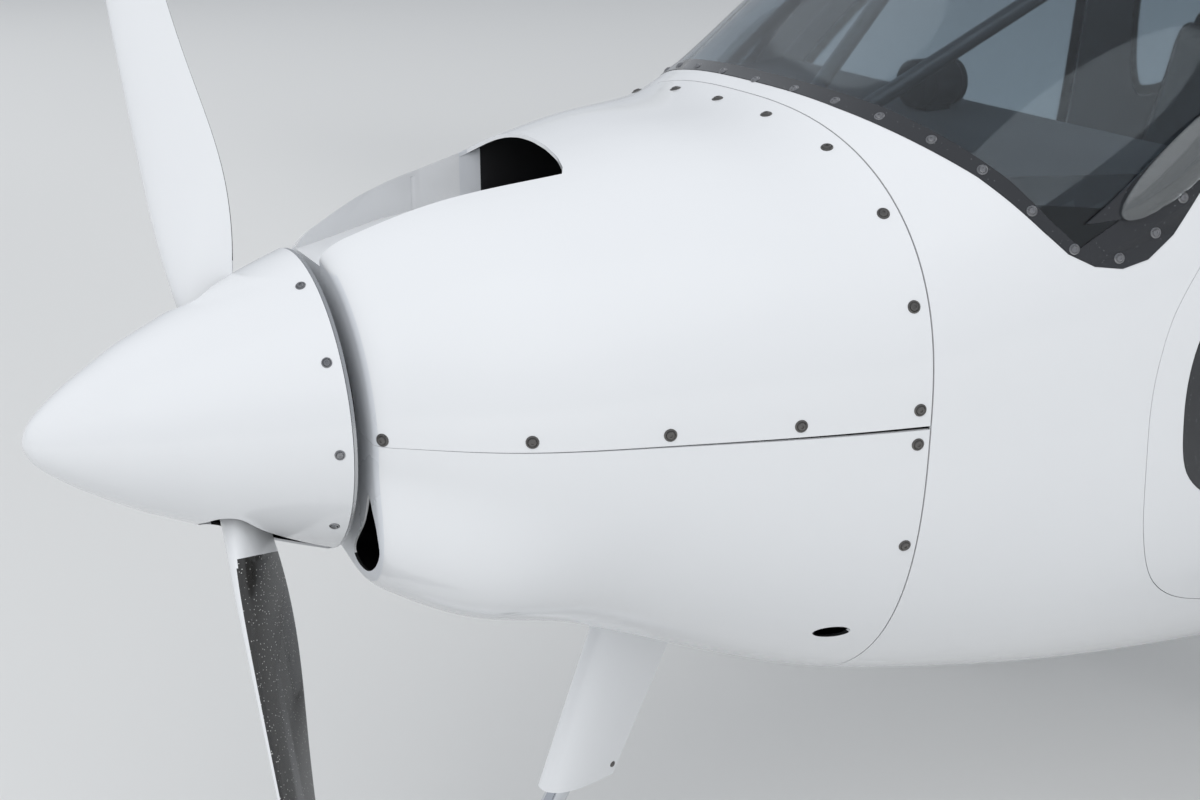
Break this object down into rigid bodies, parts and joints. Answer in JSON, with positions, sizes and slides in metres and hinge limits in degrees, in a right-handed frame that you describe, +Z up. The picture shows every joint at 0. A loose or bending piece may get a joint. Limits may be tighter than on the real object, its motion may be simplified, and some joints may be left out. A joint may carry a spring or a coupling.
{
  "type": "two-seat ultralight aircraft",
  "caption": "High-wing two-seat composite ultralight aircraft with tractor propeller, tricycle gear in wheel pants, lifting doors and a T-tail, standing parked.",
  "frame": {"origin": "middle of the bounding box in plan, on the ground under the tyres", "axes": "+Z up, -Y toward the propeller, +X toward the port wing tip"},
  "size_m": [10.71, 6.5, 1.9812],
  "materials": {
    "white_gelcoat": "gloss",
    "tinted_acrylic": "gloss",
    "black_plastic": "matte",
    "aluminium": "satin",
    "chrome": "gloss",
    "tyre_rubber": "matte",
    "seat_fabric": "matte",
    "panel_grey": "matte",
    "painted_steel": "satin"
  },
  "bodies": {
    "airframe": {"cabin_floor": "black_plastic", "compass": "black_plastic", "control_stick": "black_plastic", "cowl_lower": "white_gelcoat", "cowl_upper": "white_gelcoat", "engine_block": "aluminium", "fin": "white_gelcoat", "firewall": "aluminium", "fuselage_left": "white_gelcoat", "fuselage_right": "white_gelcoat", "instrument_panel": "panel_grey", "main_axle_left": "chrome", "main_axle_right": "chrome", "main_leg_left": "white_gelcoat", "main_leg_right": "white_gelcoat", "main_pant_left": "white_gelcoat", "main_pant_right": "white_gelcoat", "nose_leg_fairing": "white_gelcoat", "quarter_window_left": "tinted_acrylic", "quarter_window_right": "tinted_acrylic", "rear_bulkhead": "white_gelcoat", "screen_brace_left": "painted_steel", "screen_brace_right": "painted_steel", "seat_left": "seat_fabric", "seat_right": "seat_fabric", "tailplane": "white_gelcoat", "ventral_fin": "white_gelcoat", "windscreen": "tinted_acrylic", "wing_left": "white_gelcoat", "wing_right": "white_gelcoat"},
    "propeller": {"spinner": "white_gelcoat", "spinner_backplate": "aluminium", "prop_hub": "aluminium", "blade_upper": "white_gelcoat", "blade_lower": "white_gelcoat"},
    "door_left": {"door_left": "white_gelcoat", "door_window_left": "tinted_acrylic"},
    "door_right": {"door_right": "white_gelcoat", "door_window_right": "tinted_acrylic"},
    "nose_steering": {"nose_strut": "chrome", "nose_fork": "painted_steel", "nose_pant": "white_gelcoat"},
    "nose_wheel": {"nose_tyre": "tyre_rubber", "nose_rim": "aluminium"},
    "main_wheel_left": {"main_left_tyre": "tyre_rubber", "main_left_rim": "aluminium"},
    "main_wheel_right": {"main_right_tyre": "tyre_rubber", "main_right_rim": "aluminium"},
    "flaperon_left": {"flaperon_left": "white_gelcoat"},
    "flaperon_right": {"flaperon_right": "white_gelcoat"},
    "elevator": {"elevator": "white_gelcoat"},
    "rudder": {"rudder": "white_gelcoat"}
  },
  "joints": [
    {"name": "propeller_spin", "type": "hinge", "parent": "airframe", "child": "propeller", "pos_m": [0, -2.95, 1.03], "axis": [0, 1, 0], "continuous": true},
    {"name": "door_left_lift", "type": "hinge", "parent": "airframe", "child": "door_left", "pos_m": [0.492, -1.55, 1.598], "axis": [0, -1, 0], "range_deg": [0, 75]},
    {"name": "door_right_lift", "type": "hinge", "parent": "airframe", "child": "door_right", "pos_m": [-0.492, -1.55, 1.598], "axis": [0, 1, 0], "range_deg": [0, 75]},
    {"name": "nose_steer", "type": "hinge", "parent": "airframe", "child": "nose_steering", "pos_m": [0, -2.612, 0.38], "axis": [0, 0.4695, 0.8829], "range_deg": [-25, 25]},
    {"name": "nose_wheel_spin", "type": "hinge", "parent": "nose_steering", "child": "nose_wheel", "pos_m": [0, -2.745, 0.145], "axis": [1, 0, 0], "continuous": true},
    {"name": "main_wheel_left_spin", "type": "hinge", "parent": "airframe", "child": "main_wheel_left", "pos_m": [0.8, -1.19, 0.165], "axis": [1, 0, 0], "continuous": true},
    {"name": "main_wheel_right_spin", "type": "hinge", "parent": "airframe", "child": "main_wheel_right", "pos_m": [-0.8, -1.19, 0.165], "axis": [1, 0, 0], "continuous": true},
    {"name": "flaperon_left_turn", "type": "hinge", "parent": "airframe", "child": "flaperon_left", "pos_m": [0.6, -0.82023, 1.70878], "axis": [-0.9997, 0.0107, -0.0208], "range_deg": [-12, 18]},
    {"name": "flaperon_right_turn", "type": "hinge", "parent": "airframe", "child": "flaperon_right", "pos_m": [-0.6, -0.82023, 1.70878], "axis": [-0.9997, -0.0107, 0.0208], "range_deg": [-12, 18]},
    {"name": "elevator_turn", "type": "hinge", "parent": "airframe", "child": "elevator", "pos_m": [0, 3.068, 1.955], "axis": [-1, 0, 0], "range_deg": [-20, 18]},
    {"name": "rudder_turn", "type": "hinge", "parent": "airframe", "child": "rudder", "pos_m": [0, 2.928, 1.38], "axis": [0, 0, 1], "range_deg": [-28, 28]}
  ]
}
